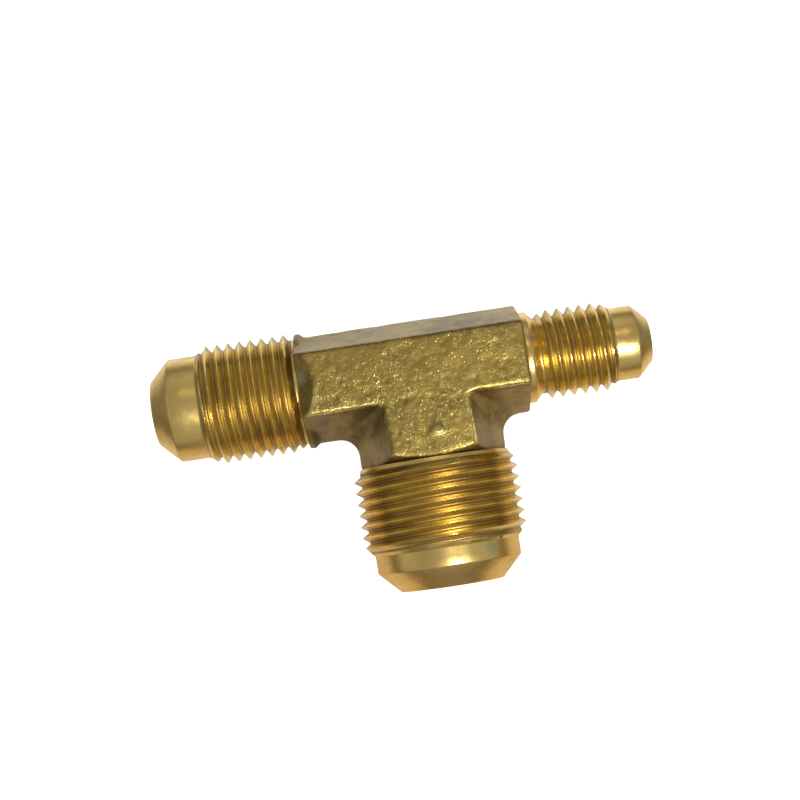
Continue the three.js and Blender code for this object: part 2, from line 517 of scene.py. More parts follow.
def nicks_group() -> Tree:
    """Small knocks and scratches: a height, and a mask of their bright rims.

    Returns:
        The group, with Vector, Size and Patch in, and Height and Rim out.
    """
    group = Group("nicks")
    tree = group.tree
    place = group.takes("Vector", "NodeSocketVector")
    size = group.takes("Size", "NodeSocketFloat", 900.0)
    patch = group.takes("Patch", "NodeSocketFloat", 150.0)
    warp = node(
        tree,
        "ShaderNodeTexNoise",
        {"Vector": place, "Scale": 700.0, "Detail": 2.0},
        noise_dimensions="3D",
    ).outputs["Color"]
    bent = node(
        tree,
        "ShaderNodeVectorMath",
        {0: warp, 1: (0.0006, 0.0006, 0.0006), 2: place},
        operation="MULTIPLY_ADD",
    ).outputs[0]
    lying = node(
        tree,
        "ShaderNodeMapping",
        {"Vector": bent, "Rotation": (0, 0, 0.6), "Scale": (1.0, 0.5, 1.0)},
    ).outputs[0]
    cells = node(
        tree,
        "ShaderNodeTexVoronoi",
        {"Vector": lying, "Scale": size, "Randomness": 1.0},
        feature="F1",
    )
    pit = spread(tree, cells.outputs["Distance"], 0.14, 0.32)
    cell = node(tree, "ShaderNodeSeparateColor", {0: cells.outputs["Color"]}).outputs[0]
    here = spread(tree, grain(tree, place, patch, 3.0, 0.7), 0.44, 0.58)
    kept = times(tree, spread(tree, cell, 0.30, 0.45), here)
    depth = times(tree, maths(tree, "SUBTRACT", 1.0, pit), kept)
    rim = times(tree, times(tree, pit, depth), 4.0)
    group.gives("Height", "NodeSocketFloat", maths(tree, "SUBTRACT", 0.0, depth))
    group.gives("Rim", "NodeSocketFloat", rim)
    return tree


@dataclass
class Effects:
    """The shader groups that more than one material uses."""

    tarnish: Tree = field(default_factory=tarnish_group)
    stain: Tree = field(default_factory=stain_group)
    turning: Tree = field(default_factory=turning_group)
    nicks: Tree = field(default_factory=nicks_group)


@dataclass(frozen=True)
class Stain:
    """A verdigris spot or a dark pit."""

    centre: Triple
    radius: float
    color: Triple
    strength: float = 0.7


VERDIGRIS = (0.30, 0.36, 0.24)
DARK_PIT = (0.06, 0.045, 0.02)
REDDISH = (0.34, 0.19, 0.09)


@dataclass(frozen=True)
class Finish:
    """What every brass finish here has in common."""

    name: str
    clean: Triple
    dull: Triple
    tarnish: float
    roughness: float
    dull_roughness: float
    stains: tuple[Stain, ...] = ()
    stain_roughness: float = 0.3
    bump_strength: float = 0.6

    def start(self, effects: Effects) -> tuple:
        """Starts the material with its tarnished brass.

        Args:
            effects: the shared shader groups.

        Returns:
            The material, its tree and shader, the place on the piece, the colour and the
            dullness there.
        """
        material = bpy.data.materials.new(self.name)
        material.use_nodes = True
        tree = material.node_tree
        shader = tree.nodes["Principled BSDF"]
        shader.inputs["Metallic"].default_value = 1.0
        shader.inputs["IOR"].default_value = 1.5
        place = tree.nodes.new("ShaderNodeTexCoord").outputs["Object"]
        looks = {
            "Vector": place,
            "Clean": (*self.clean, 1),
            "Dull": (*self.dull, 1),
            "Amount": self.tarnish,
        }
        skin = node(tree, "ShaderNodeGroup", looks, node_tree=effects.tarnish)
        return material, tree, shader, place, skin.outputs["Color"], skin.outputs["Mask"]

    def spotted(self, tree: Tree, effects: Effects, place: object,
                color: object) -> tuple[object, object]:
        """Lays the stains over a colour.

        Args:
            tree: the material's tree.
            effects: the shared shader groups.
            place: the place on the piece.
            color: the colour below.

        Returns:
            The stained colour and the stained share, which is None without stains.
        """
        total = None
        for stain in self.stains:
            looks = {"Vector": place, "Centre": stain.centre, "Radius": stain.radius}
            spot = node(tree, "ShaderNodeGroup", looks, node_tree=effects.stain)
            mask = times(tree, spot.outputs["Mask"], stain.strength)
            color = mixed(tree, mask, color, (*stain.color, 1))
            total = mask if total is None else maths(tree, "MAXIMUM", total, mask)
        return color, total

    def emboss(self, tree: Tree, shader: bpy.types.Node, height: object,
               distance: float) -> None:
        """Lets a height bend the shader's normals.

        Args:
            tree: the material's tree.
            shader: its shader.
            height: the height, from 0 to about 1.
            distance: what a height of 1 stands for, in metres.
        """
        relief = {"Height": height, "Strength": self.bump_strength, "Distance": distance}
        bump = node(tree, "ShaderNodeBump", relief)
        tree.links.new(bump.outputs["Normal"], shader.inputs["Normal"])


@dataclass(frozen=True)
class ForgedFinish(Finish):
    """The tumbled skin of the forging: dull, nicked, brighter where it is knocked, with painted
    highlight on its rims and painted shade in its hollows.
    """

    # bright: the colour of the rubbed rims with their painted highlight, the glints and the nick
    # rims
    bright: Triple = (0.98, 0.82, 0.27)
    # dark: the colour of the painted shade
    dark: Triple = (0.115, 0.078, 0.026)
    film: float = 0.45
    film_roughness: float = 0.5
    side_calm: float = -0.9
    patch_scale: float = 140.0
    speckle_scale: float = 3600.0
    speckle_height: float = 1.3
    pore_scale: float = 1500.0
    pore_height: float = 0.8
    streak_scale: float = 230.0
    mottle_scale: float = 420.0
    mottle: Pair = (0.82, 1.14)
    rubbed_roughness: float = -0.20
    bump_height: float = 0.06 * MM
    nick_layers: tuple[Triple, ...] = (
        (1300.0, 150.0, 0.5),
        (2600.0, 210.0, 0.9),
    )

    def build(self, effects: Effects) -> bpy.types.Material:
        """Builds the material.

        Args:
            effects: the shared shader groups.

        Returns:
            The material.
        """
        material, tree, shader, place, color, dull = self.start(effects)
        turned = stored(tree, "turned")
        worn_and_lit = stored(tree, "worn_and_lit")
        painted_shade = stored(tree, "painted_shade")
        side = stored(tree, "side")
        skin = maths(tree, "SUBTRACT", 1.0, turned)
        open_skin = times(tree, skin, times_plus(tree, side, self.side_calm, 1.0))
        patches = grain(tree, place, self.patch_scale, 3.0, 0.7)
        patches = times(tree, spread(tree, patches, 0.38, 0.60, 0.25, 1.0), open_skin)
        speckle = grain(tree, place, self.speckle_scale, 2.0, 0.6)
        height = times(tree, times(tree, speckle, patches), self.speckle_height)
        pores = grain(tree, place, self.pore_scale, 4.0, 0.6)
        height = times_plus(tree, pores, self.pore_height, height)
        glint = times(tree, spread(tree, speckle, 0.60, 0.70), patches)
        # wear and painted highlight: rubbed rims, glints and nick rims take the bright colour
        shiny = maths(tree, "MAXIMUM", times(tree, worn_and_lit, 0.9), glint)
        for size, patch, depth in self.nick_layers:
            looks = {"Vector": place, "Size": size, "Patch": patch}
            nicks = node(tree, "ShaderNodeGroup", looks, node_tree=effects.nicks)
            rim = times(tree, nicks.outputs["Rim"], open_skin)
            shiny = maths(tree, "MAXIMUM", shiny, times(tree, rim, 0.5))
            height = times_plus(tree, nicks.outputs["Height"], depth, height)
        color = mixed(tree, shiny, color, (*self.bright, 1))
        streaks = grain(tree, place, self.streak_scale, 3.0)
        streaks = spread(tree, streaks, 0.3, 0.65, 0.55, 1.0)
        # painted shade: the dark colour is laid in streaks in the valleys, under the rims, by
        # the relief and in the dishes
        color = mixed(tree, times(tree, painted_shade, streaks), color, (*self.dark, 1))
        color, stained = self.spotted(tree, effects, place, color)
        mottle = grain(tree, place, self.mottle_scale, 5.0, 0.7)
        mottle = spread(tree, mottle, 0.3, 0.7, *self.mottle)
        grey = node(tree, "ShaderNodeCombineColor", {0: mottle, 1: mottle, 2: mottle})
        color = mixed(tree, 1.0, color, grey.outputs[0], "MULTIPLY")
        tree.links.new(color, shader.inputs["Base Color"])
        duller = self.dull_roughness - self.roughness
        rough = times_plus(tree, dull, duller, self.roughness)
        rough = times_plus(tree, shiny, self.rubbed_roughness, rough)
        rough = times_plus(tree, stained, self.stain_roughness, rough)
        tree.links.new(rough, shader.inputs["Roughness"])
        film = times(tree, side, self.film)
        tree.links.new(film, shader.inputs["Coat Weight"])
        shader.inputs["Coat Roughness"].default_value = self.film_roughness
        self.emboss(tree, shader, height, self.bump_height)
        return material


@dataclass(frozen=True)
class TurnedFinish(Finish):
    """Turned brass: rings round the axis, painted shade in the roots of the thread and a painted
    highlight along its crests.
    """

    # root: the colour of the painted shade in the thread's roots
    root: Triple = (0.28, 0.18, 0.06)
    # crest: the colour of the painted highlight along the thread's crests
    crest: Triple = (1.0, 0.82, 0.42)
    thread_tint: Triple = (0.93, 0.98, 0.95)
    bump_height: float = 0.02 * MM
    ring_tone: float = 0.22
    shade_paint_scale: float = 120.0
    crest_share: float = 0.7
    wave_scale: float = 320.0
    wave_height: float = 5.0
    root_roughness: float = 0.22
    thread_roughness: float = -0.07
    axis: int = 0

    def build(self, effects: Effects) -> bpy.types.Material:
        """Builds the material.

        Args:
            effects: the shared shader groups.

        Returns:
            The material.
        """
        material, tree, shader, place, color, dull = self.start(effects)
        parts = node(tree, "ShaderNodeSeparateXYZ", {0: place})
        looks = {"Along": parts.outputs[self.axis], "Vector": place}
        rings = node(tree, "ShaderNodeGroup", looks, node_tree=effects.turning)
        root = stored(tree, "root")
        thread = stored(tree, "thread")
        tone = times(tree, rings.outputs["Tone"], self.ring_tone)
        color = mixed(tree, tone, color, (*self.dull, 1))
        shade_paint = grain(tree, place, self.shade_paint_scale, 2.0)
        shade_paint = spread(tree, shade_paint, 0.35, 0.62, 0.45, 1.0)
        tinted = mixed(tree, 1.0, color, (*self.thread_tint, 1), "MULTIPLY")
        color = mixed(tree, thread, color, tinted)
        # painted shade in the thread's roots, in patches
        color = mixed(tree, times(tree, root, shade_paint), color, (*self.root, 1))
        # painted highlight along the crests
        crest = times(tree, stored(tree, "crest"), self.crest_share)
        color = mixed(tree, crest, color, (*self.crest, 1))
        color, stained = self.spotted(tree, effects, place, color)
        tree.links.new(color, shader.inputs["Base Color"])
        duller = self.dull_roughness - self.roughness
        rough = times_plus(tree, dull, duller, self.roughness)
        rough = times_plus(tree, root, self.root_roughness, rough)
        rough = times_plus(tree, thread, self.thread_roughness, rough)
        if stained is not None:
            rough = times_plus(tree, stained, self.stain_roughness, rough)
        tree.links.new(rough, shader.inputs["Roughness"])
        wave = grain(tree, place, self.wave_scale, 2.0)
        height = times_plus(tree, wave, self.wave_height, rings.outputs["Height"])
        self.emboss(tree, shader, height, self.bump_height)
        return material


# --------------------------------------------------------------------------- the frame


@dataclass(frozen=True)
class Layout:
    """Where the CAD frame puts the crossing of the axes, and how far the zones reach from it."""

    crossing: Vector
    block_left: float
    block_right: float
    neck_reach: float
    left_reach: float
    right_reach: float
    branch_reach: float

    @staticmethod
    def from_frame() -> "Layout":
        """Reads the places from the boxes of the CAD nodes.

        Returns:
            The layout, with the crossing in metres and the lengths in millimetres.
        """
        left_low, left_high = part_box(Zone.LEFT.value)
        right_low, right_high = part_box(Zone.RIGHT.value)
        branch_low, branch_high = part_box(Zone.BRANCH.value)
        crossing = Vector((
            (branch_low.x + branch_high.x) / 2,
            (right_low.y + right_high.y) / 2,
            (branch_low.z + branch_high.z) / 2,
        ))
        return Layout(
            crossing=crossing,
            block_left=(crossing.x - left_high.x) / MM,
            block_right=(right_low.x - crossing.x) / MM,
            neck_reach=(crossing.y - branch_high.y) / MM,
            left_reach=(crossing.x - left_low.x) / MM,
            right_reach=(right_high.x - crossing.x) / MM,
            branch_reach=(crossing.y - branch_low.y) / MM,
        )

    def settle(self, item: Piece) -> None:
        """Brings a piece made in millimetres round the crossing into the frame."""
        item.data.transform(Matrix.Translation(self.crossing) @ Matrix.Scale(MM, 4))
        item.data.update()


def hand_over(item: Piece, zone: Zone, slot: Slot, material: bpy.types.Material) -> None:
    """Dresses a finished piece, names it after its zone, hangs it on the root and hides its CAD
    node.

    Args:
        item: the piece, in the frame.
        zone: the CAD node that it replaces.
        slot: its material slot in the record, which is only logged.
        material: its finish.
    """
    item.name = f"{zone.value}_fine"
    item.data.materials.clear()
    item.data.materials.append(material)
    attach(item, "root")
    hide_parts(zone.value)
    log.info("%s: %d faces in %s", item.name, len(item.data.polygons), slot.value)


# --------------------------------------------------------------------------- flare ends


@dataclass
class FlareEnd:
    """One end: collar, thread, plain land, 45 degree cone and bore, in millimetres."""

    zone: Zone
    outward: Vector
    start: float
    reach: float
    bore: float
    nose: float
    land: float
    thread_diameter: float
    thread_from: float
    thread_to: float
    collar: float
    collar_to: float
    collar_narrows_to: float
    finish: TurnedFinish
    pitch: float = 1.5
    depth_share: float = 0.6134
    crest_share: float = 0.035
    root_share: float = 0.11
    flank_from: float = 0.09
    flank_rise: float = 0.87
    flank_steps: Triple = (0.34, 0.58, 0.80)
    knocks: float = 0.022
    run_out_slope: float = 1.0
    lead_in_slope: float = 0.85
    seat: float = 0.3
    seam: float = 0.05
    edge: float = 0.12
    bore_edge: float = 0.15
    cut_gap: float = 0.0001
    sliver: float = 0.003
    steps: int = 128
    shading_angle: float = 32.0
    seed: int = 1

    @property
    def depth(self) -> float:
        """Depth of the thread."""
        return self.depth_share * self.pitch

    @property
    def core(self) -> float:
        """Radius of the thread's root."""
        return self.thread_diameter / 2 - self.depth

    def pitch_profile(self) -> list[Pair]:
        """One pitch of the 60 degree thread, with a round root and a sharp crest.

        Returns:
            (radius, distance along the axis) of each place from root to root.
        """
        half = self.pitch / 2
        crest = self.pitch * self.crest_share
        root = self.pitch * self.root_share
        points = [
            (self.core, 0.0),
            (self.core + 0.012 * self.depth, 0.45 * root),
            (self.core + self.flank_from * self.depth, root),
        ]
        for share in (*self.flank_steps, 1.0):
            along = root + share * (half - crest - root)
            rise = self.flank_from + self.flank_rise * share
            points.append((self.core + self.depth * rise, along))
        points.append((self.core + self.depth, half - crest * 0.3))
        mirrored = [(radius, self.pitch - along) for radius, along in reversed(points)]
        return points + mirrored

    def thread(self) -> Piece:
        """The threaded stretch: screwed, chamfered at both ends and cut off square.

        Returns:
            The stretch round +Z, open at both ends.
        """
        turns = math.ceil((self.thread_to - self.thread_from) / self.pitch) + 2
        base = self.thread_from - self.pitch
        profile = [(radius, base + along) for radius, along in self.pitch_profile()]
        item = chain(self.zone.value, profile)
        sweep(item, self.steps, self.pitch, turns)
        self.chamfer(item)
        with editing(item):
            bpy.ops.mesh.select_mode(type="VERT")
            for along, side in ((self.thread_from, -1), (self.thread_to, 1)):
                pick_all()
                bpy.ops.mesh.bisect(
                    plane_co=(0, 0, along),
                    plane_no=(0, 0, side),
                    clear_outer=True,
                    threshold=self.cut_gap,
                )
                pick_all()
                bpy.ops.mesh.remove_doubles(threshold=self.sliver)
        return item

    def chamfer(self, item: Piece) -> None:
        """Cuts the crests down to cones at both ends, and knocks them a little.

        Args:
            item: the threaded stretch.
        """
        rows = places(item)
        radius = np.hypot(rows[:, 0], rows[:, 1])
        up = np.clip((radius - self.core) / self.depth, 0, 1)
        dice = Vector((self.seed * 7.3, 0, 0))
        wobble = np.array([
            noise.noise(Vector(row) * 0.55 + dice) + 0.6 * noise.noise(Vector(row) * 2.1)
            for row in rows
        ])
        target = radius + self.knocks * wobble * up
        before = self.core + (rows[:, 2] - self.thread_from) * self.run_out_slope
        after = self.core + (self.thread_to - rows[:, 2]) * self.lead_in_slope
        target = np.minimum(target, np.maximum(self.core, np.minimum(before, after)))
        rows[:, :2] *= (target / radius)[:, None]
        set_places(item, rows)

    def barrel_profile(self) -> list[Pair]:
        """The plain stretches: from the thread, round the nose, down the bore, to the thread.

        Returns:
            (radius, distance along the axis) of each place.
        """
        land = self.land / 2
        nose = self.nose / 2
        bore = self.bore / 2
        cone_from = self.reach - (land - nose)
        edge = self.edge
        land_from = self.thread_to + abs(self.core - land) + 0.05
        back = self.start - self.seat
        points = [
            (self.core, self.thread_to + self.seam),
            (land, land_from),
            (land, land_from + 0.15),
            (land, (land_from + cone_from) / 2),
            (land, cone_from - edge),
            (land - 0.3 * edge, cone_from - 0.2 * edge),
            (land - edge, cone_from + 0.75 * edge),
            ((land + nose) / 2, (cone_from + self.reach) / 2),
            (nose + edge, self.reach - 1.05 * edge),
            (nose + 0.3 * edge, self.reach - 0.3 * edge),
            (nose - 0.4 * edge, self.reach),
            (bore + self.bore_edge, self.reach),
            (bore, self.reach - self.bore_edge),
            (bore, (self.reach + back) / 2),
            (bore, back),
            (self.collar / 2 - 0.05, back),
        ]
        if self.collar_to > self.start:
            points += [
                (self.collar / 2 - 0.05, self.start),
                (self.collar / 2, self.start + 0.08),
                (self.collar / 2, self.collar_to - 0.1),
                (self.collar / 2 - 0.06, self.collar_to + 0.02),
            ]
            waist = self.collar_narrows_to - self.collar_to
            drop = self.collar / 2 - self.core
            for share in (0.3, 0.6, 0.85):
                sag = drop * (share ** 0.8)
                points.append((self.collar / 2 - sag, self.collar_to + share * waist))
        points.append((self.core, self.collar_narrows_to))
        points.append((self.core, self.thread_from - self.seam))
        return points

    def build(self) -> Piece:
        """Models the whole end round +Z and stands it on its axis.

        Returns:
            The end, in millimetres round the crossing.
        """
        thread = self.thread()
        barrel = chain(f"{self.zone.value}_barrel", self.barrel_profile())
        sweep(barrel, self.steps)
        activate(barrel)
        thread.select_set(True)
        bpy.context.view_layer.objects.active = thread
        bpy.ops.object.join()
        self.close_seams(thread)
        tidy_faces(thread)
        rows = places(thread)
        radius = np.hypot(rows[:, 0], rows[:, 1])
        inside = (rows[:, 2] > self.thread_from) & (rows[:, 2] < self.thread_to)
        inside &= radius > self.core - 0.01
        low = 1 - ramp01(0.03 * self.depth, 0.40 * self.depth, radius - self.core)
        point_values(thread, "root", np.where(inside, low, 0.0))
        point_values(thread, "thread", inside.astype(float))
        top = ramp01(0.84 * self.depth, 0.98 * self.depth, radius - self.core)
        point_values(thread, "crest", np.where(inside, top, 0.0))
        stand(thread, self.outward)
        smooth(thread, self.shading_angle)
        return thread

    def close_seams(self, item: Piece) -> None:
        """Bridges the threaded stretch to the plain ones at its two ends.

        Args:
            item: the stretches, joined in one object.
        """
        for along in (self.thread_from - self.seam / 2, self.thread_to + self.seam / 2):
            with editing(item):
                bpy.ops.mesh.select_mode(type="EDGE")
                bpy.ops.mesh.select_all(action="DESELECT")
                cage = bmesh.from_edit_mesh(item.data)
                for edge in cage.edges:
                    level = all(abs(vert.co.z - along) < self.seam for vert in edge.verts)
                    if level and edge.is_boundary:
                        edge.select_set(True)
                bmesh.update_edit_mesh(item.data)
                bpy.ops.mesh.bridge_edge_loops()

    def dress(self, item: Piece, layout: Layout, effects: Effects) -> None:
        """Brings the end into the frame and gives it its finish."""
        layout.settle(item)
        hand_over(item, self.zone, Slot.MACHINED, self.finish.build(effects))


# --------------------------------------------------------------------------- forged body


@dataclass(frozen=True)
class WearAndHighlight:
    """Where the rims of the wrench flats are rubbed bright and carry painted highlight, in
    millimetres.
    """

    least: float = 0.1
    # facing: the painted highlight is strongest on rims that face the key light
    facing: Pair = (-0.05, 0.12)
    neck_end: Pair = (-11.2, -10.7)
    dish_corner: Pair = (-12.8, -3.4)
    branch_side: Pair = (-1.5, 0.5)
    dish_rim: float = 0.15
    dish_rim_width: Pair = (0.1, 0.45)
    dish_rim_from: float = -4.2
    rim_depth: float = 0.8
    patch_scale: float = 2.2

    def fade(self, span: Pair, values: np.ndarray) -> np.ndarray:
        """The least share below a range, 1 above it."""
        return self.least + (1 - self.least) * ramp01(*span, values)


@dataclass(frozen=True)
class ShadePaint:
    """Where painted shade darkens the body, in millimetres, and how much: valleys, under the
    rims, the neck's relief and the dishes.
    """

    valleys: tuple[tuple[int, float], ...] = ((-1, 0.95), (1, 0.25))
    valley_run: Pair = (5.1, -4.2)
    valley_width: float = 1.6
    shoulder_x: Pair = (-13.9, -12.2)
    shoulder_y: Pair = (-3.6, -2.6)
    shoulder: float = 0.65
    neck_x: Pair = (-5.6, -5.0)
    neck_y: Pair = (-6.5, -5.0)
    neck: float = 0.5
    under_from: Pair = (8.3, 8.9)
    under_to: Pair = (9.1, 9.5)
    under: float = 0.55
    back_rim_from: Pair = (8.9, 9.3)
    back_rim: float = 0.6
    relief_y: Pair = (-11.5, -11.0)
    dish: float = 0.6


@dataclass
class ForgedBody:
    """The forged block, its neck, wrench flats and crossing bores, in millimetres."""

    layout: Layout
    finish: ForgedFinish
    left_bore: float
    right_bore: float
    branch_bore: float
    branch_core: float
    height: float = 9.9
    band: float = 0.5
    run_half: float = 7.25
    run_flat_half: float = 4.0
    neck_half: float = 9.75
    neck_flat_half: float = 5.4
    corner: float = 2.6
    corner_steps: int = 8
    flat_corner: float = 0.18
    shoulder: float = 7.8
    shoulder_length: float = 0.8
    shoulder_taper: float = 0.9
    scoop_setback: float = 4.8
    scoop_radius: float = 7.0
    scoop_floor: float = 4.9
    relief: float = 1.1
    relief_slope: float = 1.8
    groove_depth: float = 1.0
    voxel: float = 0.208
    bore_clearance: float = 0.02
    drill_point: float = 118.0
    pip_place: Pair = (0.9, -8.3)
    pip_radius: float = 0.6
    pip_shape: Triple = (1.6, 0.95, 0.8)
    soft_passes: int = 9
    lump_height: float = 0.06
    bead_height: float = 0.07
    dents: int = 260
    run_dents: tuple[Pair, Pair] = ((-14, 13), (-4, 4))
    neck_dents: tuple[Pair, Pair] = ((-5, 5), (-10.5, -4))
    on_run: float = 0.72
    back_dents: float = 0.35
    dent_radius: Pair = (0.3, 0.7)
    dent_depth: Pair = (0.012, 0.045)
    proud: float = 0.25
    wear_highlight: WearAndHighlight = WearAndHighlight()
    shade_paint: ShadePaint = ShadePaint()

    def blank(self) -> Piece:
        """The forging before it is turned.

        Returns:
            A sheet of the run and the neck, thickened and drawn in towards the flats.
        """
        left, right = self.layout.block_left, self.layout.block_right
        arm_edge = self.neck_half + self.corner
        deselect_all()
        bpy.ops.mesh.primitive_plane_add(size=1, location=(0, 0, 0))
        item = bpy.context.object
        item.name = Zone.BODY.value
        with editing(item):
            pick_all()
            size = (left + right, 2 * self.run_half, 1)
            bpy.ops.transform.resize(value=size, center_override=(0, 0, 0))
            slide(x=(right - left) / 2, z=-self.height)
            for x in (-arm_edge, arm_edge):
                pick_all()
                bpy.ops.mesh.bisect(plane_co=(x, 0, 0), plane_no=(1, 0, 0))
            self.pull_neck(item)
            bpy.ops.mesh.select_mode(type="FACE")
            pick_all()
            for rise in (self.height - self.band, 2 * self.band, self.height - self.band):
                move = {"value": (0, 0, rise)}
                bpy.ops.mesh.extrude_region_move(TRANSFORM_OT_translate=move)
            self.draw_in(item)
        tidy_faces(item)
        return item

    def pull_neck(self, item: Piece) -> None:
        """Pulls the neck out of the run, narrowing through the corner fillets.

        Args:
            item: the sheet, in edit mode.
        """

        def lowest(middle: Vector) -> bool:
            """True for the edge at the open end of the neck."""
            return abs(middle.y + level) < 0.001 and abs(middle.x) < 0.001

        level = self.run_half
        width = self.neck_half + self.corner
        for step in range(1, self.corner_steps + 1):
            angle = 0.5 * math.pi * step / self.corner_steps
            next_level = self.run_half + self.corner * (1 - math.cos(angle))
            next_width = self.neck_half + self.corner * (1 - math.sin(angle))
            select_where(item, "EDGE", lowest)
            move = {"value": (0, level - next_level, 0)}
            bpy.ops.mesh.extrude_edges_move(TRANSFORM_OT_translate=move)
            grow = (next_width / width, 1, 1)
            bpy.ops.transform.resize(value=grow, center_override=(0, 0, 0))
            level, width = next_level, next_width
        select_where(item, "EDGE", lowest)
        move = {"value": (0, level - self.layout.neck_reach, 0)}
        bpy.ops.mesh.extrude_edges_move(TRANSFORM_OT_translate=move)

    def draw_in(self, item: Piece) -> None:
        """Draws the sides in from the parting band to the wrench flats.

        Args:
            item: the thickened sheet, in edit mode.
        """
        run_draft = self.run_half - self.run_flat_half
        neck_draft = self.neck_half - self.neck_flat_half
        arm_edge = self.neck_half + self.corner + 0.01
        end = 0.01 - self.layout.neck_reach
        for sign in (1, -1):
            select_where(item, "VERT", lambda p: self.on_flat(p) and self.on_fillet(p, sign))
            shrink = (self.flat_corner, self.flat_corner, 1)
            corner = (sign * self.neck_half, -self.run_half, 0)
            bpy.ops.transform.resize(value=shrink, center_override=corner)
        tips = ((1, lambda p: 0 < p.x < arm_edge), (-1, lambda p: -arm_edge < p.x < 0))
        for sign, within in tips:
            select_where(item, "VERT", lambda p: self.on_flat(p) and p.y < -0.1 and within(p))
            slide(x=-sign * neck_draft)
        select_where(item, "VERT", lambda p: self.on_flat(p) and p.y > 0.1)
        slide(y=-run_draft)
        select_where(item, "VERT", lambda p: self.on_flat(p) and end < p.y < -0.1)
        slide(y=run_draft)

    def on_flat(self, place: Vector) -> bool:
        """True at the height of a wrench flat."""
        return abs(place.z) > self.height - 0.01

    def on_fillet(self, place: Vector, sign: int) -> bool:
        """Tells whether a place is on a fillet between the run and the neck.

        Args:
            place: the place.
            sign: 1 for the fillet on the right, -1 for the left.

        Returns:
            True on that fillet.
        """
        across = sign * place.x - self.neck_half
        down = -self.run_half - place.y
        return -0.01 < across < self.corner + 0.01 and -0.01 < down < self.corner + 0.01

    def turn_shoulders(self, item: Piece) -> None:
        """Adds the round shoulder on the left and cuts the dishes and the neck's relief.

        Args:
            item: the forging.
        """
        left = self.layout.block_left
        taper_from = left - self.shoulder_length
        taper_to = taper_from - self.shoulder_taper
        root = self.shoulder - self.shoulder_taper
        ring = lathe("shoulder", [
            (0, taper_to),
            (root, taper_to),
            (self.shoulder, taper_from),
            (self.shoulder, left),
            (0, left),
        ])
        stand(ring, Vector((-1, 0, 0)))
        drop = self.height - self.shoulder
        flare = (self.scoop_radius - self.scoop_floor) / drop
        for side in (1, -1):
            dish = lathe("dish", [
                (0, self.shoulder),
                (self.scoop_floor, self.shoulder),
                (self.scoop_radius + flare, self.height + 1),
                (0, self.height + 1),
            ])
            stand(dish, Vector((0, 0, side)))
            dish.data.transform(Matrix.Translation((-left - self.scoop_setback, 0, 0)))
            combine(item, dish, "DIFFERENCE")
        combine(item, ring, "UNION")
        reach = self.layout.neck_reach
        outer = self.height + self.neck_half
        groove = self.branch_core - self.groove_depth
        cone = lathe("relief", [
            (groove, reach + 1),
            (groove, reach),
            (groove + self.relief_slope * self.relief, reach - self.relief),
            (outer, reach - self.relief),
            (outer, reach + 1),
            (groove, reach + 1),
        ])
        stand(cone, Vector((0, -1, 0)))
        combine(item, cone, "DIFFERENCE")

    def drill(self, item: Piece) -> None:
        """Drills the run from both ends and the branch from its own.

        Args:
            item: the forging.
        """
        wide = self.left_bore / 2 + self.bore_clearance
        narrow = self.right_bore / 2 + self.bore_clearance
        wide_branch = self.branch_bore / 2 + self.bore_clearance
        point = math.tan(math.radians(self.drill_point / 2))
        run = lathe("run_drill", [
            (0, -self.layout.block_left - 1),
            (wide, -self.layout.block_left - 1),
            (wide, narrow),
            (narrow, narrow + (wide - narrow) / point),
            (narrow, self.layout.block_right + 1),
            (0, self.layout.block_right + 1),
        ])
        stand(run, Vector((1, 0, 0)))
        combine(item, run, "DIFFERENCE")
        branch = lathe("branch_drill", [
            (0, wide - wide_branch / point),
            (wide_branch, wide),
            (wide_branch, self.layout.neck_reach + 1),
            (0, self.layout.neck_reach + 1),
        ])
        stand(branch, Vector((0, -1, 0)))
        combine(item, branch, "DIFFERENCE")

    def add_pip(self, item: Piece) -> None:
        """Raises a plain pip on the front of the neck.

        Args:
            item: the forging.
        """
        deselect_all()
        place = (*self.pip_place, self.height - 0.05)
        bpy.ops.mesh.primitive_uv_sphere_add(
            segments=24, ring_count=12, radius=self.pip_radius, location=place
        )
        pip = bpy.context.object
        bpy.ops.object.transform_apply(location=True)
        with editing(pip):
            pick_all()
            bpy.ops.transform.resize(value=self.pip_shape, center_override=place)
        combine(item, pip, "UNION")

    def forge_skin(self, item: Piece) -> None:
        """Gives the block its soft edges, its uneven skin and its dents.

        Args:
            item: the turned and drilled forging.
        """
        apply_modifier(item, "grain", "REMESH", mode="VOXEL", voxel_size=self.voxel)
        apply_modifier(item, "soften", "SMOOTH", factor=0.5, iterations=self.soft_passes)
        rows = places(item)
        normals = np.zeros(len(item.data.vertices) * 3)
        item.data.vertices.foreach_get("normal", normals)
        normals = normals.reshape(-1, 3)
        skin = self.skin_share(rows)
        lumps = np.array([
            noise.noise(Vector(row) * 0.22) + 0.5 * noise.noise(Vector(row) * 0.6)
            + 0.35 * noise.noise(Vector(row) * 1.7)
            for row in rows
        ])
        rows += normals * (self.lump_height * lumps * skin)[:, None]
        rows -= normals * (self.dent_depths(rows) * skin)[:, None]
        rim = self.rim_share(rows, normals) * skin
        beads = np.array([noise.noise(Vector(row) * 1.9) for row in rows])
        rows += normals * (self.bead_height * beads * rim)[:, None]
        rows = self.true_up(rows)
        set_places(item, rows)
        point_values(item, "turned", 1 - skin)
        # rubbed rims and their painted highlight
        point_values(item, "worn_and_lit", self.edge_wear_highlight(rows, normals, skin))
        side = ramp01(0.25, 0.6, 1 - np.abs(normals[:, 2]))
        point_values(item, "side", np.maximum(side, self.in_scoop(rows)))
        # painted shade in the valleys, under the rims, by the relief and in the dishes
        point_values(item, "painted_shade", self.painted_shade(rows))
        smooth(item, 180)

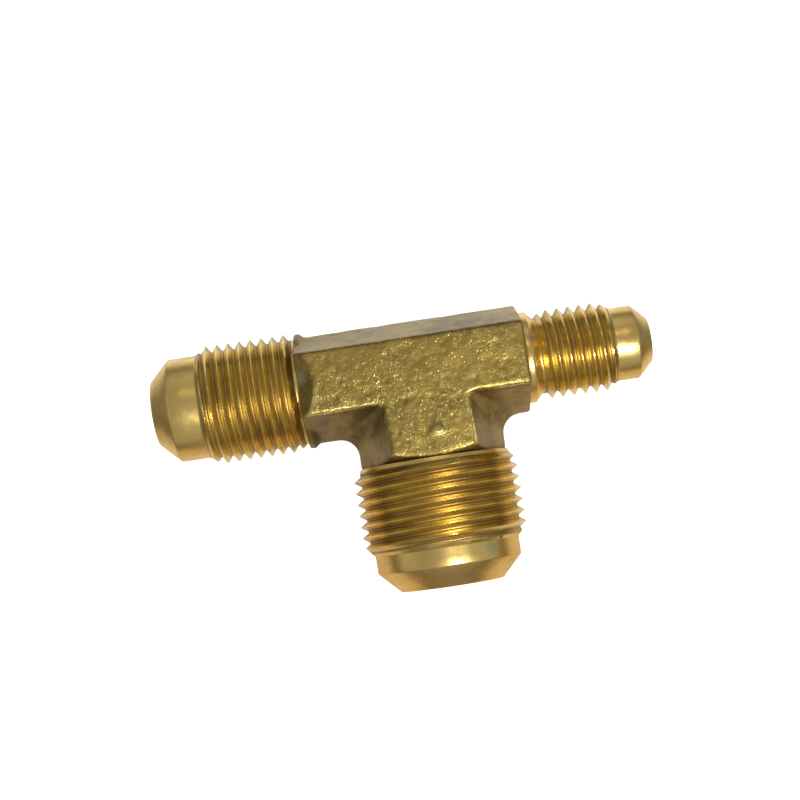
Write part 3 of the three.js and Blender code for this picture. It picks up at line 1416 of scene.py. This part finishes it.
    def skin_share(self, rows: np.ndarray) -> np.ndarray:
        """The share of the forged skin: 0 in the bores and on what is turned.

        Args:
            rows: the places.

        Returns:
            0 to 1 for each place.
        """
        x, y, z = rows.T
        run_wall = np.hypot(y, z) - self.left_bore / 2
        branch_wall = np.hypot(x, z) - self.branch_bore / 2
        outside_branch = np.where(y > -2, 1.0, ramp01(0.4, 1.4, branch_wall))
        from_left = x + self.layout.block_left
        from_right = self.layout.block_right - x
        from_neck = y + self.layout.neck_reach
        ends = ramp01(0.1, 0.9, np.minimum(np.minimum(from_left, from_right), from_neck))
        return ramp01(0.6, 1.6, run_wall) * outside_branch * ends

    def dent_depths(self, rows: np.ndarray) -> np.ndarray:
        """How deep the knocks go.

        Args:
            rows: the places.

        Returns:
            The depth at each place, in millimetres.
        """
        dice = random.Random(4)
        depth = np.zeros(len(rows))
        for _ in range(self.dents):
            across, down = self.run_dents if dice.random() < self.on_run else self.neck_dents
            centre = np.array((dice.uniform(*across), dice.uniform(*down), self.height))
            if dice.random() < self.back_dents:
                centre[2] *= -1
            radius = dice.uniform(*self.dent_radius)
            deep = dice.uniform(*self.dent_depth)
            stretch = dice.uniform(0.5, 1.0)
            turn = dice.uniform(0, math.pi)
            offset = rows - centre
            along = offset[:, 0] * math.cos(turn) + offset[:, 1] * math.sin(turn)
            cross = offset[:, 1] * math.cos(turn) - offset[:, 0] * math.sin(turn)
            away = np.sqrt(along**2 + (cross / stretch) ** 2 + offset[:, 2] ** 2) / radius
            depth += deep * (1 - ramp01(0.2, 1.0, away))
        return depth

    def edge_wear_highlight(self, rows: np.ndarray, normals: np.ndarray, skin: np.ndarray) -> np.ndarray:
        """Bright rims of the wrench flats, rubbed and with painted highlight, least on the side
        away from the branch.

        Args:
            rows: the places.
            normals: their normals.
            skin: the share of the forged skin there.

        Returns:
            0 to 1 for each place.
        """
        wear_highlight = self.wear_highlight
        x, y, z = rows.T
        rim = self.rim_share(rows, normals)
        # painted highlight: rims that face the key light are brighter
        rim *= wear_highlight.fade(wear_highlight.facing, 0.7 * normals[:, 0] - normals[:, 1])
        rim *= wear_highlight.fade(wear_highlight.neck_end, y)
        lower_half = 1 - ramp01(*wear_highlight.branch_side, y)
        at_dish = (x < wear_highlight.dish_corner[0]) & (y > wear_highlight.dish_corner[1])
        rim *= np.where(at_dish, (1 - wear_highlight.least) * lower_half + wear_highlight.least, 1.0)
        off_edge = np.abs(self.from_dish(rows) - self.scoop_radius - wear_highlight.dish_rim)
        edge = (1 - ramp01(*wear_highlight.dish_rim_width, off_edge)) * lower_half
        edge *= (y > wear_highlight.dish_rim_from) & (np.abs(z) > self.height - wear_highlight.rim_depth)
        rim = np.maximum(rim, edge)
        patches = np.array([noise.noise(Vector(row) * wear_highlight.patch_scale) for row in rows])
        return np.clip(rim * (0.9 + 1.2 * patches) * skin, 0, 1)

    def from_dish(self, rows: np.ndarray) -> np.ndarray:
        """Distance of each place from the axis of the dishes."""
        return np.hypot(rows[:, 0] + self.layout.block_left + self.scoop_setback, rows[:, 1])

    def in_scoop(self, rows: np.ndarray) -> np.ndarray:
        """The share of the turned surface of the dishes.

        Args:
            rows: the places.

        Returns:
            0 to 1 for each place.
        """
        inside = 1 - ramp01(-0.35, 0.05, self.from_dish(rows) - self.scoop_radius)
        high = ramp01(self.shoulder - 0.4, self.shoulder, np.abs(rows[:, 2]))
        return inside * high * (np.abs(rows[:, 1]) < 4.6)

    def rim_share(self, rows: np.ndarray, normals: np.ndarray) -> np.ndarray:
        """The share of the rounded rims of the wrench flats.

        Args:
            rows: the places.
            normals: their normals.

        Returns:
            0 to 1 for each place.
        """
        high = ramp01(self.height - 1.0, self.height - 0.4, np.abs(rows[:, 2]))
        tilt = 1 - np.abs(normals[:, 2])
        return high * ramp01(0.02, 0.10, tilt) * (1 - ramp01(0.55, 0.8, tilt))

    def painted_shade(self, rows: np.ndarray) -> np.ndarray:
        """Painted shade on the skin: valleys, under the rims, beside the turning.

        Args:
            rows: the places.

        Returns:
            0 to 1 for each place.
        """
        shade_paint = self.shade_paint
        x, y, z = rows.T
        level = np.abs(z)
        side = 1 - ramp01(self.height - 0.7, self.height - 0.2, level)
        total = np.zeros(len(rows))
        for sign, share in shade_paint.valleys:
            start = np.array((sign * self.neck_flat_half, -self.run_flat_half))
            along = np.array(shade_paint.valley_run) * (sign, 1)
            offset = rows[:, :2] - start
            t = np.clip(offset @ along / (along @ along), 0, 1)
            away = np.linalg.norm(offset - t[:, None] * along, axis=1)
            total = np.maximum(total, share * np.exp(-((away / shade_paint.valley_width) ** 2)))
        back_half = y > self.run_flat_half / 2
        near_edge = np.abs(y) > self.run_flat_half - 0.25
        on_sides = (
            shade_paint.shoulder * (1 - ramp01(*shade_paint.shoulder_x, x)) * (1 - ramp01(*shade_paint.shoulder_y, y)),
            shade_paint.neck * (1 - ramp01(*shade_paint.neck_x, x)) * (1 - ramp01(*shade_paint.neck_y, y)),
            shade_paint.under * ramp01(*shade_paint.under_from, level) * (1 - ramp01(*shade_paint.under_to, level))
            * (y < 0),
        )
        anywhere = (
            shade_paint.back_rim * ramp01(*shade_paint.back_rim_from, level) * back_half * near_edge,
            # painted shadow at the neck's relief, and painted shade in the dishes
            1 - ramp01(*shade_paint.relief_y, y),
            shade_paint.dish * self.in_scoop(rows),
        )
        total = np.maximum.reduce((total, *on_sides))
        return np.maximum.reduce((total * side, *anywhere))

    def true_up(self, rows: np.ndarray) -> np.ndarray:
        """Keeps the piece inside the box of its CAD zone, but for a little on the flats.

        Args:
            rows: the places.

        Returns:
            The places, moved inside.
        """
        top = self.height + self.proud
        low = (-self.layout.block_left, -self.layout.neck_reach, -top)
        high = (self.layout.block_right, math.inf, top)
        return np.clip(rows, low, high)

    def build(self) -> Piece:
        """Models the whole body.

        Returns:
            The body, in millimetres round the crossing.
        """
        item = self.blank()
        self.turn_shoulders(item)
        self.add_pip(item)
        self.drill(item)
        tidy_faces(item)
        self.forge_skin(item)
        return item

    def dress(self, item: Piece, effects: Effects) -> None:
        """Brings the body into the frame and gives it its finish."""
        self.layout.settle(item)
        hand_over(item, Zone.BODY, Slot.FORGED, self.finish.build(effects))


# --------------------------------------------------------------------------- the studio


@dataclass(frozen=True)
class SoftBox:
    """One area light that looks at the fitting, with lengths in metres."""

    name: str
    direction: Triple
    distance: float
    size: Pair
    power: float
    color: Triple = (1.0, 1.0, 1.0)


@dataclass
class Studio:
    """A pale floor, soft lights and the camera.

    The camera sees the floor as plain white. The metal sees it as a sheet that glows with
    painted light, bright behind the fitting, with painted shade that makes it duller and warmer
    on the side of the branch, and it fades with distance.
    """

    layout: Layout
    foot: Pair = (-3.5, -20.2)
    stand_off: float = 209.3
    aim: Triple = (-3.3, -3.07, 0.0)
    roll: float = 8.6
    lens: float = 70.2
    floor_size: float = 40.0
    sheet: Pair = (0.035, 0.10)
    sheet_behind: Pair = (-0.02, 0.03)
    white_to_camera: float = 0.9
    glow_front: float = 0.12
    glow_behind: float = 0.11
    room_light: float = 0.35
    # floor_front: painted shade on the front of the sheet, on the side of the branch
    floor_front: Triple = (0.60, 0.475, 0.32)
    floor_back: Triple = (0.90, 0.90, 0.88)
    boxes: tuple[SoftBox, ...] = (
        SoftBox("key", (0.23, -0.42, 0.88), 0.6, (0.08, 0.08), 2.5),
        SoftBox("warm_back", (0.05, 0.50, 0.86), 0.7, (0.25, 0.12), 0.15, (1.0, 0.82, 0.6)),
        SoftBox("left_wall", (-0.90, 0.10, 0.42), 0.9, (0.8, 0.5), 0.15),
        SoftBox("right_wall", (0.90, 0.05, 0.42), 0.9, (0.8, 0.5), 0.14),
        SoftBox("front_wall", (0.0, -0.92, 0.40), 0.9, (0.9, 0.4), 0.06),
        SoftBox("back_wall", (0.0, 0.92, 0.40), 0.9, (0.9, 0.4), 0.2),
    )

    def floor(self) -> None:
        """Lays the floor that the fitting rests on."""
        deselect_all()
        bpy.ops.mesh.primitive_plane_add(size=self.floor_size, location=(0, 0, CAD_BOX[0].z))
        ground = bpy.context.object
        ground.name = "floor"
        paint = bpy.data.materials.new("pale_floor")
        paint.use_nodes = True
        shader = paint.node_tree.nodes["Principled BSDF"]
        tree = paint.node_tree
        shader.inputs["Roughness"].default_value = 0.9
        shader.inputs["Specular IOR Level"].default_value = 0.1
        shader.inputs["Emission Color"].default_value = (1, 1, 1, 1)
        place = tree.nodes.new("ShaderNodeTexCoord").outputs["Object"]
        y = node(tree, "ShaderNodeSeparateXYZ", {0: place}).outputs[1]
        behind = spread(tree, y, *self.sheet_behind)
        away = node(tree, "ShaderNodeVectorMath", {0: place}, operation="LENGTH")
        sheet = spread(tree, away.outputs["Value"], *self.sheet, 1.0, 0.15)
        # painted shade: the sheet is darker and warmer in front, on the side of the branch
        tone = mixed(tree, behind, (*self.floor_front, 1), (*self.floor_back, 1))
        fade = node(tree, "ShaderNodeCombineColor", {0: sheet, 1: sheet, 2: sheet})
        tone = mixed(tree, 1.0, tone, fade.outputs[0], "MULTIPLY")
        tree.links.new(tone, shader.inputs["Base Color"])
        ray = tree.nodes.new("ShaderNodeLightPath").outputs["Is Camera Ray"]
        # painted light: the sheet glows for the metal, though it is no lamp
        near = times_plus(tree, behind, self.glow_behind, self.glow_front)
        glow = times_plus(tree, ray, self.white_to_camera, times(tree, near, sheet))
        tree.links.new(glow, shader.inputs["Emission Strength"])
        ground.data.materials.append(paint)

    def lights(self) -> None:
        """Hangs the soft boxes and sets the level of the room."""
        for box in self.boxes:
            lamp = bpy.data.lights.new(box.name, "AREA")
            lamp.shape = "RECTANGLE"
            lamp.size, lamp.size_y = box.size
            lamp.energy = box.power
            lamp.color = box.color
            holder = bpy.data.objects.new(box.name, lamp)
            bpy.context.scene.collection.objects.link(holder)
            direction = Vector(box.direction).normalized()
            holder.location = self.layout.crossing + direction * box.distance
            holder.rotation_euler = direction.to_track_quat("Z", "Y").to_euler()
        world = bpy.data.worlds.new("room")
        bpy.context.scene.world = world
        world.use_nodes = True
        sky = world.node_tree.nodes["Background"]
        sky.inputs["Color"].default_value = (0.97, 0.98, 1.0, 1)
        sky.inputs["Strength"].default_value = self.room_light

    def camera(self) -> None:
        """Looks down on the fitting from above the side of the branch."""
        eye = self.layout.crossing + Vector((*self.foot, self.stand_off)) * MM
        target = self.layout.crossing + Vector(self.aim) * MM
        back = (eye - target).normalized()
        roll = math.radians(self.roll)
        up = Vector((math.sin(roll), math.cos(roll), 0))
        right = up.cross(back).normalized()
        true_up = back.cross(right)
        basis = Matrix((right, true_up, back)).transposed().to_4x4()
        lens = bpy.data.cameras.new("camera")
        lens.lens = self.lens
        lens.sensor_width = 36
        lens.clip_start = 0.01
        lens.clip_end = 20
        holder = bpy.data.objects.new("camera", lens)
        holder.matrix_world = Matrix.Translation(eye) @ basis
        bpy.context.scene.collection.objects.link(holder)
        bpy.context.scene.camera = holder

    def build(self) -> None:
        """Sets the whole studio up."""
        self.floor()
        self.lights()
        self.camera()
        bpy.context.scene.view_settings.view_transform = "Standard"


# --------------------------------------------------------------------------- assembly


def flare_ends(layout: Layout) -> tuple[FlareEnd, FlareEnd, FlareEnd]:
    """The three ends with their sizes and finishes.

    Args:
        layout: where the zones begin and end.

    Returns:
        The left end, the right end and the branch.
    """
    crossing = layout.crossing
    right_spot = crossing + Vector((14.9, 1.9, 5.8)) * MM
    branch_spot = crossing + Vector((5.3, -24.2, 8.0)) * MM
    branch_pit = crossing + Vector((6.9, -23.0, 6.9)) * MM
    gold = (0.92, 0.64, 0.20)
    worn_gold = (0.62, 0.43, 0.15)
    left = FlareEnd(
        zone=Zone.LEFT,
        outward=Vector((-1, 0, 0)),
        start=layout.block_left,
        reach=layout.left_reach,
        bore=7.5,
        nose=8.7,
        land=13.9,
        thread_diameter=16.0,
        thread_from=16.5,
        thread_to=29.4,
        collar=14.2,
        collar_to=0.0,
        collar_narrows_to=16.3,
        finish=TurnedFinish("turned_brass_left", gold, worn_gold, 0.75, 0.27, 0.42),
        seed=1,
    )
    right = FlareEnd(
        zone=Zone.RIGHT,
        outward=Vector((1, 0, 0)),
        start=layout.block_right,
        reach=layout.right_reach,
        bore=4.5,
        nose=6.0,
        land=9.9,
        thread_diameter=12.0,
        thread_from=15.95,
        thread_to=25.9,
        collar=12.3,
        collar_to=14.9,
        collar_narrows_to=15.9,
        finish=TurnedFinish(
            "turned_brass_right", gold, worn_gold, 0.75, 0.25, 0.40,
            stains=(Stain(tuple(right_spot), 0.9 * MM, VERDIGRIS, 0.7),),
        ),
        seed=2,
    )
    branch = FlareEnd(
        zone=Zone.BRANCH,
        outward=Vector((0, -1, 0)),
        start=layout.neck_reach,
        reach=layout.branch_reach,
        bore=12.0,
        nose=13.8,
        land=19.3,
        thread_diameter=22.0,
        thread_from=12.15,
        thread_to=22.9,
        collar=20.0,
        collar_to=0.0,
        collar_narrows_to=12.1,
        finish=TurnedFinish(
            "turned_brass_branch", gold, worn_gold, 0.8, 0.26, 0.42, axis=1,
            stains=(
                Stain(tuple(branch_spot), 1.5 * MM, VERDIGRIS, 0.6),
                Stain(tuple(branch_pit), 0.5 * MM, DARK_PIT, 0.9),
            ),
        ),
        seed=3,
    )
    return left, right, branch


def main() -> None:
    """Builds the zones in order, dresses them and sets the studio."""
    logging.basicConfig(level=logging.INFO, format="%(name)s: %(message)s")
    layout = Layout.from_frame()
    effects = Effects()
    ends = flare_ends(layout)
    for end in ends:
        end.dress(end.build(), layout, effects)
    left, right, branch = ends
    shoulder_spot = layout.crossing + Vector((-15.6, 1.0, 8.2)) * MM
    corner_spot = layout.crossing + Vector((12.4, 3.4, 9.9)) * MM
    body = ForgedBody(
        layout=layout,
        finish=ForgedFinish(
            "forged_brass", (0.36, 0.25, 0.064), (0.20, 0.143, 0.040), 0.85, 0.40, 0.54,
            stains=(
                Stain(tuple(shoulder_spot), 1.7 * MM, VERDIGRIS, 0.6),
                Stain(tuple(corner_spot), 2.2 * MM, REDDISH, 0.4),
            ),
        ),
        left_bore=left.bore,
        right_bore=right.bore,
        branch_bore=branch.bore,
        branch_core=branch.core,
    )
    body.dress(body.build(), effects)
    Studio(layout).build()


if __name__ == "__main__":
    main()
